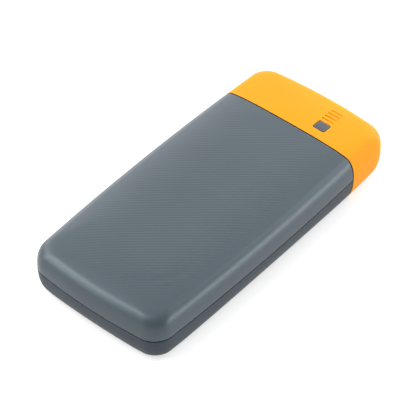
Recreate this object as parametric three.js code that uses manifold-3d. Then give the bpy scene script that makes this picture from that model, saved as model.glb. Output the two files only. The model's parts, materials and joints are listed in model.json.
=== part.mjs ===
// A pocket power bank for charging phones: two half shells over a pair of pouch cells, and a
// bright sleeve-like end cap over the board, the ports, the charge gauge and its button.
//
// Frame: millimetres, +Z up, origin under the middle of the body on the surface it lies on.
// +Y runs along the body towards the ports, +X across it.

import * as THREE from 'three';
import { mergeVertices } from 'three/addons/utils/BufferGeometryUtils.js';
import Module from 'manifold-3d';

const wasm = await Module();
wasm.setup();

// ---------------------------------------------------------------- driving dimensions

const BODY = { width: 80, length: 168, thickness: 26.4 };
const PARTING_Z = 13.4;     // the two half shells meet here
const CAP_EDGE_Y = 53.4;    // the shells end and the cap begins here

// Seen from above, the body is a rounded rectangle whose sides and ends swell at their middle.
const PLAN = { cornerRadius: 8.6, cornerGrowth: 1.7, sideBow: 2.4, endBow: 2.6 };

// In section each half rolls over from its wall to a face that is crowned by this much. The roll
// is a superellipse: it reaches in by roll, and power is its exponent.
const UPPER = { crown: 2.95, roll: 5.5, power: 2.5 };
const LOWER = { crown: 1, roll: 4.5, power: 2.2 };

const WALL = 2.2;
const GAP = 0.3;            // clearance between neighbouring mouldings
const JOINT_GAP = 0.4;      // between the shells and the cap, where a thin seal shows
const SEAT = 0.2;           // adhesive or solder under a piece that sits on another

const SPIGOT = { clearance: 0.3, wall: 1.5, length: 4.5, root: 4.5 };
const LAP = { thickness: 0.95, height: 1.4, stopY: 46 };
const SEAL = { recess: 0.15, reach: 2.4, clearance: 0.02 };
const SNAP = { x: 16, y: 55.6, width: 8, length: 1.4, height: 0.5 };

const BUTTON = { x: 13.36, y: 61.7, width: 6.48, length: 5.7, radius: 0.9, clearance: 0.25 };
const GAUGE = { x: 13, firstY: 66.65, pitch: 2.36, count: 4, length: 6.6, width: 1.1 };
const GAUGE_BASE = { width: 8.6, guideZ: 21.2, guideHeight: 1.1, baffleHeight: 2.7 };
const SWITCH = { size: 4.5, height: 3.4, socketRadius: 1.35, plungerRadius: 1.1, plungerTop: 22.3 };

const BOARD = { underside: 16.4, thickness: 1.6, width: 60, y0: 56.8, y1: 78.4, cornerRadius: 4 };
const BOARD_TOP = BOARD.underside + BOARD.thickness;
const TRAY = { floor: 4.4, thickness: 1.5, halfWidth: 30, y0: 47, y1: 77.6, bulkheadTop: 20.2 };
const SCREW_POSTS = [[-26.8, 60], [26.8, 60], [-26.8, 74.4], [26.8, 74.4]];

const PORT_FACE_Y = 82.6;   // front edge of the metal port shells, just inside the cap's skin
const USB_A = { width: 13.2, height: 5.8, depth: 13.6, wall: 0.35, radius: 0.7, x: [-2, 15.5] };
const USB_C = { width: 8.94, height: 3.26, depth: 7.4, wall: 0.3, radius: 1.6, x: -18.5 };
const TONGUE_A = { width: 11.1, thickness: 1.84, recess: 0.9, block: 4, z: 1.25 };
const TONGUE_C = { width: 6.69, thickness: 0.7, recess: 0.7, block: 2, z: 0 };
const PORT_Z = BOARD.underside - USB_A.height / 2 - SEAT;

const CELL = { width: 63, length: 116, thickness: 9, radius: 2, y0: -75.5 };
const CELL_Z = [3.3, 13.3];           // undersides of the two cells
const CELL_END_Y = CELL.y0 + CELL.length;
const CELL_TOP = CELL_Z[1] + CELL.thickness;
const TAPE = { width: 50, length: 100, base: 0.4, middle: 0.6 };
const LEAD = { x: 10, z: 13, radius: 1.1, notch: 2.2 };

// ---------------------------------------------------------------- solids

// A closed three.js geometry as a solid that can be cut and joined.
function solid(geometry) {
  const bare = geometry.clone();
  bare.deleteAttribute('normal');
  bare.deleteAttribute('uv');
  const merged = mergeVertices(bare, 1e-4);
  const mesh = new wasm.Mesh({
    numProp: 3,
    vertProperties: new Float32Array(merged.attributes.position.array),
    triVerts: new Uint32Array(merged.index.array),
  });
  return new wasm.Manifold(mesh);
}

// The other way round: a solid's vertices and triangles as a three.js geometry.
function geometryOf(manifold) {
  const mesh = manifold.getMesh();
  const geometry = new THREE.BufferGeometry();
  geometry.setAttribute('position', new THREE.BufferAttribute(mesh.vertProperties, 3));
  geometry.setIndex(new THREE.BufferAttribute(mesh.triVerts, 1));
  geometry.computeVertexNormals();
  return geometry;
}

// An upright block between two corners.
function block([x0, y0, z0], [x1, y1, z1]) {
  const geometry = new THREE.BoxGeometry(x1 - x0, y1 - y0, z1 - z0);
  geometry.translate((x0 + x1) / 2, (y0 + y1) / 2, (z0 + z1) / 2);
  return solid(geometry);
}

// A rounded rectangle centred on the origin of the drawing plane.
function roundedRect(width, height, radius, Kind = THREE.Shape) {
  const x = width / 2;
  const y = height / 2;
  const shape = new Kind();
  shape.moveTo(x, -y + radius);
  shape.lineTo(x, y - radius);
  shape.absarc(x - radius, y - radius, radius, 0, Math.PI / 2);
  shape.lineTo(-x + radius, y);
  shape.absarc(-x + radius, y - radius, radius, Math.PI / 2, Math.PI);
  shape.lineTo(-x, -y + radius);
  shape.absarc(-x + radius, -y + radius, radius, Math.PI, 1.5 * Math.PI);
  shape.lineTo(x - radius, -y);
  shape.absarc(x - radius, -y + radius, radius, 1.5 * Math.PI, 2 * Math.PI);
  return shape;
}

// A rounded slab standing on z = 0. Each corner gets twice curveSegments facets.
function slab(width, length, height, radius, curveSegments = 2) {
  const shape = roundedRect(width, length, radius);
  return new THREE.ExtrudeGeometry(shape, { depth: height, bevelEnabled: false, curveSegments });
}

// A section drawn in XZ, swept back towards -Y from its front face at y = 0.
function sweptBack(shape, depth, curveSegments = 2) {
  const geometry = new THREE.ExtrudeGeometry(shape, { depth, bevelEnabled: false, curveSegments });
  return geometry.rotateX(Math.PI / 2);
}

// A turned piece with its axis along Z. The profile runs from the axis, outwards and back.
function turned(profile, segments = 16) {
  const points = profile.map(([radius, z]) => new THREE.Vector2(radius, z));
  return new THREE.LatheGeometry(points, segments).rotateX(Math.PI / 2);
}

// ---------------------------------------------------------------- the body's outer form

// The body's outline at one level, where it is inset this far from its widest.
function outline(inset) {
  const halfWidth = BODY.width / 2 - inset;
  const shrink = halfWidth / (BODY.width / 2);
  const bowX = PLAN.sideBow * shrink;
  const bowY = PLAN.endBow * shrink;
  const x = halfWidth - bowX;
  const y = BODY.length / 2 - inset - bowY;
  const tight = Math.max(PLAN.cornerRadius - inset, 0);
  const radius = Math.min(Math.hypot(tight, PLAN.cornerGrowth * inset), 0.97 * x);
  const cornerSteps = 5;
  const sideSteps = 6;
  const points = [];
  for (let corner = 0; corner < 4; corner++) {
    const signX = corner === 0 || corner === 3 ? 1 : -1;
    const signY = corner < 2 ? 1 : -1;
    for (let step = 0; step <= cornerSteps; step++) {
      const angle = (corner + step / cornerSteps) * Math.PI / 2;
      points.push([
        signX * (x - radius) + radius * Math.cos(angle),
        signY * (y - radius) + radius * Math.sin(angle),
      ]);
    }
    const [fromX, fromY] = points.at(-1);
    const alongEnd = corner % 2 === 0;
    for (let step = 1; step < sideSteps; step++) {
      const back = 1 - 2 * step / sideSteps;
      points.push(alongEnd ? [fromX * back, fromY] : [fromX, fromY * back]);
    }
  }
  return points.map(([px, py]) => [
    px * (1 + bowX / x * (1 - (py / y) ** 2)),
    py * (1 + bowY / y * (1 - (px / x) ** 2)),
  ]);
}

// One half's levels from its wall to the middle of its face: pairs of inset and height above
// the parting plane, on the surface that lies depth inside the outer one.
function halfLevels({ crown, roll, power }, fullHeight, depth) {
  const height = fullHeight - depth;
  const reachIn = roll - depth / 2;
  const face = (inset) => height - crown * (1 - inset / (BODY.width / 2)) ** 4;
  const rollSteps = 6;
  const list = [];
  for (let step = 0; step <= rollSteps; step++) {
    const angle = step / rollSteps * Math.PI / 2;
    const inset = depth + reachIn * (1 - Math.cos(angle) ** (2 / power));
    list.push([inset, face(inset) * Math.sin(angle) ** (2 / power)]);
  }
  for (const inset of [10, 15, 20]) {
    list.push([inset, face(inset)]);
  }
  const flatInset = 26;
  list.push([flatInset, height]);
  return list;
}

// The whole body's form, moved inwards by depth, as one closed solid.
function bodyForm(depth) {
  const under = halfLevels(LOWER, PARTING_Z, depth).map(([inset, h]) => [inset, PARTING_Z - h]);
  const over = halfLevels(UPPER, BODY.thickness - PARTING_Z, depth)
    .map(([inset, h]) => [inset, PARTING_Z + h]);
  const rings = [...under.slice(1).reverse(), ...over]
    .map(([inset, z]) => outline(inset).map(([x, y]) => [x, y, z]));
  const around = rings[0].length;
  const positions = [[0, 0, rings[0][0][2]], ...rings.flat(), [0, 0, rings.at(-1)[0][2]]];
  const index = [];
  const at = (ring, i) => 1 + ring * around + i % around;
  for (let i = 0; i < around; i++) {
    index.push(0, at(0, i + 1), at(0, i));
    index.push(positions.length - 1, at(rings.length - 1, i), at(rings.length - 1, i + 1));
    for (let ring = 0; ring + 1 < rings.length; ring++) {
      index.push(at(ring, i), at(ring, i + 1), at(ring + 1, i + 1));
      index.push(at(ring, i), at(ring + 1, i + 1), at(ring + 1, i));
    }
  }
  const geometry = new THREE.BufferGeometry();
  geometry.setAttribute('position', new THREE.Float32BufferAttribute(positions.flat(), 3));
  geometry.setIndex(index);
  return solid(geometry);
}

// Height of the outer surface over a point of the top face that lies near the port end.
function topHeight(x, y) {
  const inset = Math.min(BODY.width / 2 - Math.abs(x), BODY.length / 2 - Math.abs(y));
  return BODY.thickness - UPPER.crown * (1 - inset / (BODY.width / 2)) ** 4;
}

// A block that holds everything between two stations along the body and two heights.
function slice(y0, y1, z0 = -1, z1 = BODY.thickness + 1) {
  return block([-BODY.width, y0, z0], [BODY.width, y1, z1]);
}

// ---------------------------------------------------------------- mouldings

const FAR = BODY.length;   // well clear of either end
const skin = bodyForm(0);
const hollow = bodyForm(WALL);
const spigotDepth = WALL + SPIGOT.clearance;
const spigotEnd = CAP_EDGE_Y + SPIGOT.length;

// Low ridges on the spigots that snap into pockets inside the cap, above and below.
function snapRidges(grow, z0, z1) {
  return [-SNAP.x, SNAP.x].map((x) => block(
    [x - SNAP.width / 2 - grow, SNAP.y - SNAP.length / 2 - grow, z0],
    [x + SNAP.width / 2 + grow, SNAP.y + SNAP.length / 2 + grow, z1],
  ));
}

// Both half shells before they are parted: the open-ended housing with its narrower spigot.
function housing() {
  const outside = skin.intersect(slice(-FAR, CAP_EDGE_Y - JOINT_GAP / 2));
  const spigot = bodyForm(spigotDepth).intersect(slice(CAP_EDGE_Y - SPIGOT.root, spigotEnd));
  const bay = hollow.intersect(slice(-FAR, CAP_EDGE_Y - SPIGOT.root));
  const throat = bodyForm(spigotDepth + SPIGOT.wall);
  return outside.add(spigot).subtract(bay).subtract(throat);
}

function upperShell(whole) {
  const lapRoom = bodyForm(WALL - LAP.thickness - GAP)
    .intersect(slice(-FAR, LAP.stopY + GAP, 0, PARTING_Z + LAP.height + 2 * GAP));
  const ridgeZ = BODY.thickness - spigotDepth;
  let shell = whole.intersect(slice(-FAR, FAR, PARTING_Z + GAP / 2)).subtract(lapRoom);
  for (const ridge of snapRidges(0, ridgeZ - SNAP.height, ridgeZ + SNAP.height)) {
    shell = shell.add(ridge);
  }
  return shell;
}

function lowerShell(whole) {
  const lap = bodyForm(WALL - LAP.thickness).subtract(hollow)
    .intersect(slice(-FAR, LAP.stopY, PARTING_Z - 1, PARTING_Z + LAP.height));
  let shell = whole.intersect(slice(-FAR, FAR, -1, PARTING_Z - GAP / 2)).add(lap);
  for (const ridge of snapRidges(0, spigotDepth - SNAP.height, spigotDepth + SNAP.height)) {
    shell = shell.add(ridge);
  }
  return shell;
}

function gaugeY(index) {
  return GAUGE.firstY + index * GAUGE.pitch;
}

function endCap() {
  let cap = skin.intersect(slice(CAP_EDGE_Y + JOINT_GAP / 2, FAR)).subtract(hollow);
  const { width, length, radius } = BUTTON;
  const clear = BUTTON.clearance;
  const buttonHole = slab(width + 2 * clear, length + 2 * clear, WALL * 2, radius + clear)
    .translate(BUTTON.x, BUTTON.y, BODY.thickness - WALL * 1.5);
  cap = cap.subtract(solid(buttonHole));
  for (let i = 0; i < GAUGE.count; i++) {
    const slot = slab(GAUGE.length, GAUGE.width, WALL * 2.5, GAUGE.width / 2 - 0.01)
      .translate(GAUGE.x, gaugeY(i), BODY.thickness - WALL * 2);
    cap = cap.subtract(solid(slot));
  }
  for (const x of USB_A.x) {
    cap = cap.subtract(portWindow(USB_A, x));
  }
  cap = cap.subtract(portWindow(USB_C, USB_C.x));
  const pocketDepth = WALL - SNAP.height - GAP / 2;
  for (const pocket of snapRidges(GAP, pocketDepth, WALL + 1)) {
    cap = cap.subtract(pocket);
  }
  const { thickness } = BODY;
  for (const pocket of snapRidges(GAP, thickness - WALL - 1, thickness - pocketDepth)) {
    cap = cap.subtract(pocket);
  }
  return cap;
}

// A thin black ring in the joint between the shells and the cap, just under their surface.
function jointSeal() {
  const half = JOINT_GAP / 2 - SEAL.clearance;
  return bodyForm(SEAL.recess).subtract(bodyForm(SEAL.reach))
    .intersect(slice(CAP_EDGE_Y - half, CAP_EDGE_Y + half));
}

function portWindow(port, x) {
  const shape = roundedRect(port.width + 2 * GAP, port.height + 2 * GAP, port.radius + GAP);
  return solid(sweptBack(shape, WALL * 4).translate(x, BODY.length / 2 + WALL, PORT_Z));
}

// The tray behind the cap: a floor, a bulkhead that keeps the cells off the board, and posts.
function boardCarrier() {
  const { floor, thickness, halfWidth, y0, y1, bulkheadTop } = TRAY;
  let tray = solid(slab(2 * halfWidth, y1 - y0, thickness, 3).translate(0, (y0 + y1) / 2, floor));
  tray = tray.add(block([-halfWidth + 2, y0, floor], [halfWidth - 2, y0 + thickness, bulkheadTop]));
  for (const x of [-LEAD.x, LEAD.x]) {
    tray = tray.subtract(block(
      [x - LEAD.notch, y0 - 1, LEAD.z - LEAD.notch], [x + LEAD.notch, y0 + 3, FAR],
    ));
  }
  for (const [x, y] of SCREW_POSTS) {
    const top = BOARD.underside - SEAT;
    const post = turned([[0, floor], [2.6, floor], [2.2, top], [0, top]], 12);
    const pilot = bar(0.8, top - 6, top + 1, 8);
    tray = tray.add(solid(post.translate(x, y, 0)));
    tray = tray.subtract(solid(pilot.translate(x, y, 0)));
  }
  return tray;
}

// ---------------------------------------------------------------- button and gauge

function statusButton() {
  const { width, length, radius } = BUTTON;
  const top = topHeight(BUTTON.x, BUTTON.y) - 0.02;
  const underWall = top - WALL - 0.2;
  const flangeHeight = 0.9;
  const flangeZ = underWall - GAP - flangeHeight;
  const key = slab(width, length, top - flangeZ, radius).translate(0, 0, flangeZ);
  const rim = slab(width + 1.6, length + 1.2, flangeHeight, radius + 0.8).translate(0, 0, flangeZ);
  const foot = SWITCH.plungerTop + GAP;
  const stem = slab(3, 3, flangeZ + 0.2 - foot, 0.6, 1).translate(0, 0, foot);
  return solid(key).add(solid(rim)).add(solid(stem));
}

// A round bar between two heights, on the Z axis.
function bar(radius, z0, z1, segments = 16) {
  return turned([[0, z0], [radius, z0], [radius, z1], [0, z1]], segments);
}

const SOCKET_FLOOR = 0.8;

function switchBody() {
  const socket = bar(SWITCH.socketRadius, SOCKET_FLOOR, SWITCH.height + 1);
  return solid(slab(SWITCH.size, SWITCH.size, SWITCH.height, 0.4, 1)).subtract(solid(socket));
}

function switchPlunger() {
  const top = SWITCH.plungerTop - BOARD_TOP - SEAT;
  const roomBelow = 0.6;
  return bar(SWITCH.plungerRadius, SOCKET_FLOOR + roomBelow, top);
}

function lightGuide() {
  const { width, guideZ, guideHeight } = GAUGE_BASE;
  const middleY = gaugeY((GAUGE.count - 1) / 2);
  const length = GAUGE.pitch * GAUGE.count;
  let guide = solid(slab(width, length, guideHeight, 0.5, 1).translate(0, middleY, guideZ));
  const clear = 0.2;
  for (let i = 0; i < GAUGE.count; i++) {
    const top = topHeight(GAUGE.x, gaugeY(i)) - 0.35;
    const fin = slab(GAUGE.length - 2 * clear, GAUGE.width - 2 * clear, top - guideZ, 0.3, 1);
    guide = guide.add(solid(fin.translate(0, gaugeY(i), guideZ)));
  }
  return guide;
}

// An opaque frame on the board that keeps each lamp's light to its own bar.
function gaugeBaffle() {
  const height = GAUGE_BASE.baffleHeight;
  const middleY = gaugeY((GAUGE.count - 1) / 2);
  const base = slab(GAUGE_BASE.width, GAUGE.pitch * GAUGE.count, height, 0.5, 1)
    .translate(0, middleY, 0);
  let baffle = solid(base);
  for (let i = 0; i < GAUGE.count; i++) {
    const y = gaugeY(i);
    baffle = baffle.subtract(block([-3.3, y - 0.75, -1], [3.3, y + 0.75, height + 1]));
  }
  return baffle;
}

// ---------------------------------------------------------------- ports

function portShell(port) {
  const shape = roundedRect(port.width, port.height, port.radius);
  const inner = [port.width - 2 * port.wall, port.height - 2 * port.wall];
  shape.holes.push(roundedRect(...inner, port.radius - port.wall, THREE.Path));
  return sweptBack(shape, port.depth);
}

// The insulator: a block that fills the back of the shell, with the contact tongue in front.
function portTongue(port, tongue) {
  const clear = 0.1;
  const width = port.width - 2 * port.wall - 2 * clear;
  const height = port.height - 2 * port.wall - 2 * clear;
  const radius = Math.max(port.radius - port.wall - clear, 0.3);
  const plug = sweptBack(roundedRect(width, height, radius), tongue.block)
    .translate(0, -port.depth + tongue.block, 0);
  const blade = sweptBack(
    roundedRect(tongue.width, tongue.thickness, tongue.thickness * 0.25), port.depth - tongue.recess - 1,
  ).translate(0, -tongue.recess, tongue.z);
  return solid(plug).add(solid(blade));
}

// ---------------------------------------------------------------- board and its components

function circuitBoard() {
  const length = BOARD.y1 - BOARD.y0;
  const blank = slab(BOARD.width, length, BOARD.thickness, BOARD.cornerRadius)
    .translate(0, (BOARD.y0 + BOARD.y1) / 2, BOARD.underside);
  let board = solid(blank);
  for (const [x, y] of SCREW_POSTS) {
    const hole = bar(1.3, BOARD.underside - 1, BOARD_TOP + 1, 12).translate(x, y, 0);
    board = board.subtract(solid(hole));
  }
  return board;
}

function screw() {
  const head = { radius: 1.9, height: 1.3 };
  const shank = { radius: 0.7, length: 6 };
  const profile = [
    [0, -shank.length], [shank.radius, -shank.length + 0.5], [shank.radius, 0],
    [head.radius, 0], [head.radius, head.height * 0.5], [head.radius * 0.7, head.height],
    [0, head.height],
  ];
  let body = solid(turned(profile, 12));
  for (const [x, y] of [[1.1, 0.25], [0.25, 1.1]]) {
    body = body.subtract(block([-x, -y, head.height - 0.6], [x, y, head.height + 1]));
  }
  return body;
}

function inductor() {
  const size = { side: 7, height: 4 };
  const core = solid(slab(size.side, size.side, size.height, 1));
  return core.add(block([-3.7, -1.2, 3.2], [3.7, 1.2, size.height]));
}

function capacitor() {
  const can = { radius: 3.15, height: 5.8 };
  const profile = [
    [0, 0], [can.radius - 0.3, 0], [can.radius, 0.3], [can.radius, 4.2],
    [can.radius - 0.25, 4.5], [can.radius, 4.8], [can.radius, can.height], [0, can.height],
  ];
  return turned(profile, 16);
}

// ---------------------------------------------------------------- cells and leads

// A pouch cell: a soft-edged slab, with the thin sealed terrace its tabs come out of.
function pouchCell() {
  const { width, length, thickness, radius } = CELL;
  const bevel = { size: 1.2, thickness: 1.6 };
  const shape = roundedRect(width - 2 * bevel.size, length - 2 * bevel.size, radius);
  const pouch = new THREE.ExtrudeGeometry(shape, {
    depth: thickness - 2 * bevel.thickness,
    bevelSize: bevel.size, bevelThickness: bevel.thickness, bevelSegments: 3,
    curveSegments: 2,
  }).translate(0, CELL.y0 + length / 2, bevel.thickness);
  const middle = thickness / 2;
  const terrace = block(
    [-width / 2 + 3, CELL_END_Y - 2, middle - 0.4], [width / 2 - 3, CELL_END_Y + 3, middle + 0.4],
  );
  return solid(pouch).add(terrace);
}

// A nickel strip bent like a bracket: it joins the tabs of both cells on one side.
function busbar() {
  const strip = 0.4;
  const reach = 1.6;
  const low = CELL_Z[0] + CELL.thickness / 2;
  const high = CELL_Z[1] + CELL.thickness / 2;
  const shape = new THREE.Shape([
    [0, low], [reach, low], [reach, high], [0, high], [0, high - strip],
    [reach - strip, high - strip], [reach - strip, low + strip], [0, low + strip],
  ].map(([y, z]) => new THREE.Vector2(y, z)));
  const width = 6;
  const bar = new THREE.ExtrudeGeometry(shape, { depth: width, bevelEnabled: false });
  // drawn in YZ and pushed along X
  return bar.rotateX(Math.PI / 2).rotateZ(Math.PI / 2).translate(-width / 2, 0, 0);
}

// A wire that follows a smooth curve through its points.
function wire(points, radius, steps, sides = 8) {
  const section = new THREE.Shape();
  section.absarc(0, 0, radius, 0, 2 * Math.PI);
  const extrudePath = new THREE.CatmullRomCurve3(points.map((p) => new THREE.Vector3(...p)));
  return new THREE.ExtrudeGeometry(section, { steps, extrudePath, curveSegments: sides / 2 });
}

const BUSBAR_Y = CELL_END_Y + 3.3;
const LEAD_ROUTE = [
  [0, BUSBAR_Y + 1.9, LEAD.z], [0, 49, LEAD.z], [0, 53.5, LEAD.z + 0.1], [0, 57.4, LEAD.z + 0.8],
  [0, 59, LEAD.z + 2.2], [0, 59.1, BOARD.underside - SEAT],
];
const THERMISTOR_ROUTE = [
  [0, 38.3, CELL_TOP + 0.9], [0, 43, CELL_TOP + 0.7], [0, 48, CELL_TOP - 0.9],
  [0, 54, BOARD_TOP + 0.9], [0, 58.5, BOARD_TOP + 0.8],
];

// ---------------------------------------------------------------- materials and assembly

function material(color, roughness, metalness = 0) {
  return new THREE.MeshStandardMaterial({ color, roughness, metalness });
}

const slateShell = material('#69727a', 0.6);
const darkShell = material('#53585d', 0.6);
const orangeCap = material('#ffb732', 0.5);
const buttonGrey = material('#6c6c72', 0.55);
const amberClear = material('#f49a1e', 0.25);
const blackPlastic = material('#1d1e20', 0.65);
const contactPlastic = material('#e9e6dd', 0.5);
const steel = material('#c3c6ca', 0.3, 1);
const switchSteel = material('#b7babd', 0.35, 1);
const boardGreen = material('#1f5a3c', 0.45);
const chipBlack = material('#26272a', 0.5);
const ferrite = material('#4a4c50', 0.7);
const canAluminium = material('#c9cbce', 0.35, 1);
const lampWhite = material('#f3efd8', 0.4);
const pouchFoil = material('#b9bcc0', 0.35, 1);
const nickel = material('#b8b3a6', 0.35, 1);
const redSilicone = material('#b3221e', 0.6);
const blackSilicone = material('#202022', 0.6);
const greyFoam = material('#4b4c4f', 0.95);
const fuseCeramic = material('#d9d3c4', 0.6);

const powerBank = new THREE.Group();

function add(name, shape, finish, position = [0, 0, 0], parent = powerBank) {
  const geometry = shape.isBufferGeometry ? shape : geometryOf(shape);
  const mesh = new THREE.Mesh(geometry, finish);
  mesh.name = name;
  mesh.position.set(...position);
  parent.add(mesh);
  return mesh;
}

// casing
const wholeHousing = housing();
add('upper_shell', upperShell(wholeHousing), slateShell);
add('lower_shell', lowerShell(wholeHousing), darkShell);
add('end_cap', endCap(), orangeCap);
add('joint_seal', jointSeal(), blackSilicone);
add('board_carrier', boardCarrier(), blackPlastic);

// button and charge gauge
add('status_button', statusButton(), buttonGrey, [BUTTON.x, BUTTON.y, 0]);
add('gauge_light_guide', lightGuide(), amberClear, [GAUGE.x, 0, 0]);

const onBoard = new THREE.Group();
onBoard.position.z = BOARD_TOP + SEAT;
powerBank.add(onBoard);

const underBoard = new THREE.Group();
underBoard.position.z = BOARD.underside - SEAT;
powerBank.add(underBoard);

add('switch_body', switchBody(), switchSteel, [BUTTON.x, BUTTON.y, 0], onBoard);
add('switch_plunger', switchPlunger(), blackPlastic, [BUTTON.x, BUTTON.y, 0], onBoard);
add('gauge_baffle', gaugeBaffle(), blackPlastic, [GAUGE.x, 0, 0], onBoard);
for (let i = 0; i < GAUGE.count; i++) {
  add(`gauge_led_${i + 1}`, slab(2, 1.1, 0.8, 0.15, 1), lampWhite, [GAUGE.x, gaugeY(i), 0], onBoard);
}

// board
add('circuit_board', circuitBoard(), boardGreen);
SCREW_POSTS.forEach(([x, y], i) => {
  add(`board_screw_${i + 1}`, screw(), steel, [x, y, 0], onBoard);
});
add('charge_controller', slab(6, 6, 0.9, 0.2, 1), chipBlack, [-7, 66, 0], onBoard);
add('port_controller', slab(5, 5, 0.9, 0.2, 1), chipBlack, [-18.5, 70.5, 0], onBoard);
add('mosfet_1', slab(5, 6, 1, 0.2, 1), chipBlack, [-21, 61.5, 0], onBoard);
add('mosfet_2', slab(5, 6, 1, 0.2, 1), chipBlack, [-14.5, 61.5, 0], onBoard);
add('board_fuse', slab(6.1, 2.7, 2, 0.3, 1), fuseCeramic, [-6, 59, 0], onBoard);

const inductorShape = geometryOf(inductor()).rotateX(Math.PI);
add('inductor_1', inductorShape, ferrite, [-19, 64.4, 0], underBoard);
add('inductor_2', inductorShape, ferrite, [19, 64.4, 0], underBoard);
const capacitorShape = capacitor().rotateX(Math.PI);
add('capacitor_1', capacitorShape, canAluminium, [-3.5, 61, 0], underBoard);
add('capacitor_2', capacitorShape, canAluminium, [3.5, 61, 0], underBoard);

// ports
const ports = new THREE.Group();
ports.position.set(0, PORT_FACE_Y, PORT_Z);
powerBank.add(ports);
USB_A.x.forEach((x, i) => {
  add(`usb_a_shell_${i + 1}`, portShell(USB_A), steel, [x, 0, 0], ports);
  add(`usb_a_tongue_${i + 1}`, portTongue(USB_A, TONGUE_A), contactPlastic, [x, 0, 0], ports);
});
add('usb_c_shell', portShell(USB_C), steel, [USB_C.x, 0, 0], ports);
add('usb_c_tongue', portTongue(USB_C, TONGUE_C), blackPlastic, [USB_C.x, 0, 0], ports);

// cells
add('battery_cell_lower', pouchCell(), pouchFoil, [0, 0, CELL_Z[0]]);
add('battery_cell_upper', pouchCell(), pouchFoil, [0, 0, CELL_Z[1]]);
add('positive_busbar', busbar(), nickel, [-LEAD.x, BUSBAR_Y, 0]);
add('negative_busbar', busbar(), nickel, [LEAD.x, BUSBAR_Y, 0]);
add('positive_lead', wire(LEAD_ROUTE, LEAD.radius, 18), redSilicone, [-LEAD.x, 0, 0]);
add('negative_lead', wire(LEAD_ROUTE, LEAD.radius, 18), blackSilicone, [LEAD.x, 0, 0]);
add('thermistor', slab(3, 5, 1.1, 0.5, 1), chipBlack, [0, 35.5, CELL_TOP + SEAT]);
add('thermistor_lead', wire(THERMISTOR_ROUTE, 0.5, 16, 6), blackSilicone);

// foam and adhesive that hold the cells
const tapeY = CELL.y0 + CELL.length / 2;
const tape = (thickness) => slab(TAPE.width, TAPE.length, thickness, 2, 1);
add('cell_base_tape', tape(TAPE.base), greyFoam, [0, tapeY, CELL_Z[0] - SEAT - TAPE.base]);
add('cell_middle_tape', tape(TAPE.middle), greyFoam, [0, tapeY, CELL_Z[0] + CELL.thickness + SEAT]);
add('cell_top_foam', slab(30, 80, 0.9, 2, 1), greyFoam, [0, tapeY - 8, CELL_TOP + SEAT]);
const endPad = block([-18, CELL.y0 - SEAT - 4.6, 8.5], [18, CELL.y0 - SEAT, 18]);
add('cell_end_pad', endPad, greyFoam);

export default powerBank;
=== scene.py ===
import json
import math

import bpy
import numpy as np
from mathutils import Matrix, Vector
from mathutils.geometry import delaunay_2d_cdt


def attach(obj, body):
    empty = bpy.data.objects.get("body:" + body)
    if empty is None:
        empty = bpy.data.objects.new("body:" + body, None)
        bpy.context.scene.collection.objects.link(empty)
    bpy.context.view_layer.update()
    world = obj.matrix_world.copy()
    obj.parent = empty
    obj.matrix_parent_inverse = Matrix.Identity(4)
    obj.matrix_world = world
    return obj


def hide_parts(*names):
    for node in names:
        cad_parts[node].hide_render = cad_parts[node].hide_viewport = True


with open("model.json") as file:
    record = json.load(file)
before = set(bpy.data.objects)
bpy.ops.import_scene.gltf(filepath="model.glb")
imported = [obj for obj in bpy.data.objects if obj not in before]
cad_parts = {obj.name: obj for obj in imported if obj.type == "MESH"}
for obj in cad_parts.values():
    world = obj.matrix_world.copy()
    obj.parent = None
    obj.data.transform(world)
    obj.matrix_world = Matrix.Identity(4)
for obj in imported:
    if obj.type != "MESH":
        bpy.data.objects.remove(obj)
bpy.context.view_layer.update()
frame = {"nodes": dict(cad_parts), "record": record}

MM = 0.001                      # the shapes below are worked out in millimetres

# ---------------------------------------------------------------- the body's form, as in the CAD

HALF_WIDTH, HALF_LENGTH, THICKNESS = 40.0, 84.0, 26.4
PARTING_Z = 13.4
CORNER_RADIUS, CORNER_GROWTH, SIDE_BOW, END_BOW = 8.6, 1.7, 2.4, 2.6
UPPER = dict(crown=2.95, roll=5.5, power=2.5, height=THICKNESS - PARTING_Z, sign=1)
LOWER = dict(crown=1.0, roll=4.5, power=2.2, height=PARTING_Z, sign=-1)
GAP = 0.3                       # between neighbouring mouldings
JOINT_GAP = 0.72                # between the shells and the cap, wide enough for the dark line
PARTING_GAP = 0.62              # between the two shells, at the surface
WALL = 2.2
CAP_EDGE_Y = 53.36              # the middle of the joint
FILLET = 0.15                   # how far the mouldings' edges are rounded
SUPPORT = 0.2                   # a loop this far from each edge keeps its shading tight
FACE_INSET = 6.5                # from here inwards the top and underside are triangulated
SHELL_AREA = (-40, 40, -54, 84)     # what the shells' faces lie within, as x0, x1, y0, y1
CAP_AREA = (-40, 40, 50, 84)
BUTTON_AREA = (7, 19, 56, 78)   # the button and the gauge
PORT_AREA, PORT_BLOCK_Z = (-27, 27, 8, 19), (8.4, 17.8)

BUTTON_AT = np.array([13.36, 61.7])
BUTTON_SIZE, BUTTON_RADIUS, BUTTON_CLEAR = (6.48, 5.7), 0.9, 0.25
BAR_X = 13.0
BAR_Y = [66.65 + 2.36 * i for i in range(4)]
BAR_SIZE, BAR_RADIUS = (6.6, 1.1), 0.54
PORT_Z, PORT_FACE_Y = 13.3, 82.6
USB_A = dict(x=(-2.0, 15.5), size=(13.2, 5.8), radius=0.7, wall=0.35, depth=13.6)
USB_C = dict(x=(-18.5,), size=(8.94, 3.26), radius=1.6, wall=0.3, depth=7.4)


def sizes(inset):
    """Half width, half length and corner radius before bowing, and the two bows, at one inset."""
    half = HALF_WIDTH - inset
    shrink = half / HALF_WIDTH
    bow_x, bow_y = SIDE_BOW * shrink, END_BOW * shrink
    x, y = half - bow_x, HALF_LENGTH - inset - bow_y
    tight = np.maximum(CORNER_RADIUS - inset, 0)
    radius = np.minimum(np.hypot(tight, CORNER_GROWTH * inset), 0.97 * x)
    return x, y, radius, bow_x, bow_y


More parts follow.
